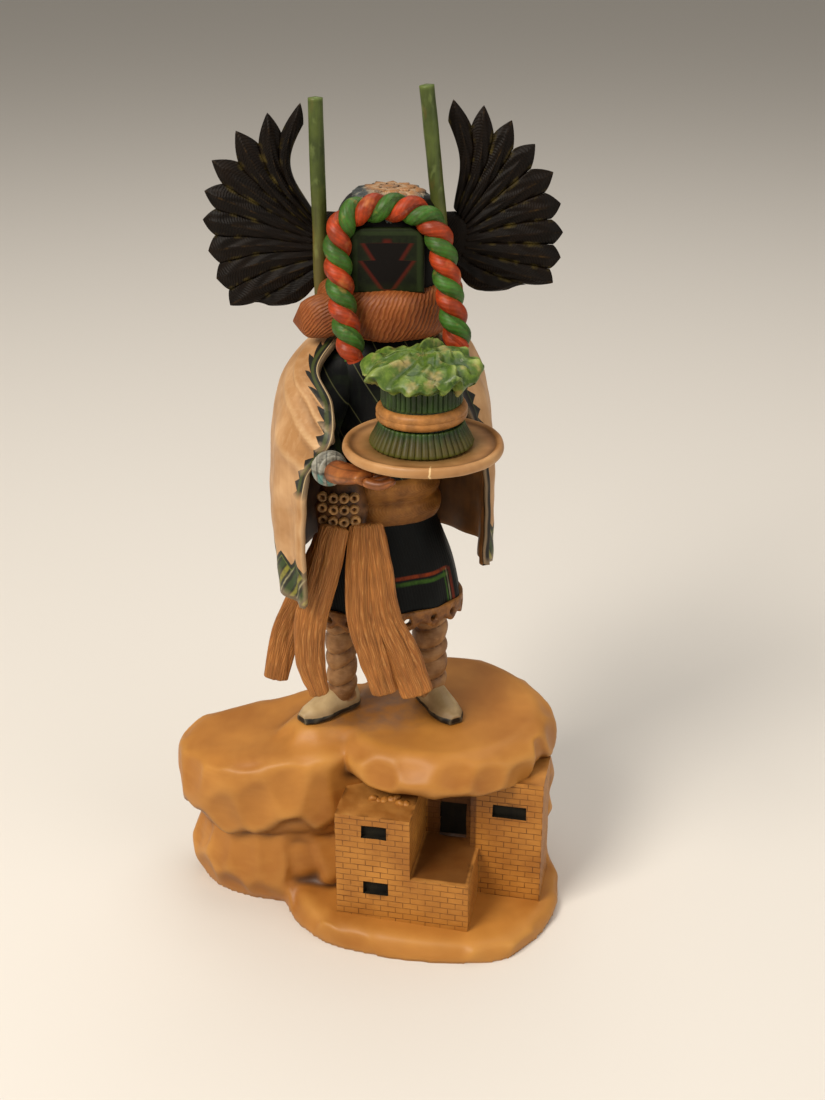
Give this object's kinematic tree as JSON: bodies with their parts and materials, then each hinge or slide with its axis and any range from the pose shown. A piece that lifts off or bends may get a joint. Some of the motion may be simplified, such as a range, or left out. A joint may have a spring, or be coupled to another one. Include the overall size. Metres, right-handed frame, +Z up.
{
  "type": "carved kachina doll",
  "caption": "Carved and painted wooden kachina doll with winged mask, cape and tray of sprouts, on a carved rock base with a small pueblo",
  "frame": {"origin": "middle of the underside of the doll's box, on the table", "axes": "+Z up, the doll faces -Y, +X to the viewer's right"},
  "size_m": [0.1134, 0.0924, 0.2324],
  "materials": {
    "rock": "satin, oiled bare wood",
    "figure": "satin, thinly painted and stained",
    "wings": "satin, dark paint with worn olive edges",
    "sticks": "satin, mottled green paint",
    "tray": "satin, bare wood",
    "sprouts": "satin, green paint with tan bands",
    "rope": "satin, red and green paint"
  },
  "bodies": {
    "root": {"rock_base": "rock", "figure": "figure", "wing_left": "wings", "wing_right": "wings", "stick_left": "sticks", "stick_right": "sticks", "tray": "tray", "sprout_bundle": "sprouts", "yarn_rope": "rope"}
  },
  "joints": []
}
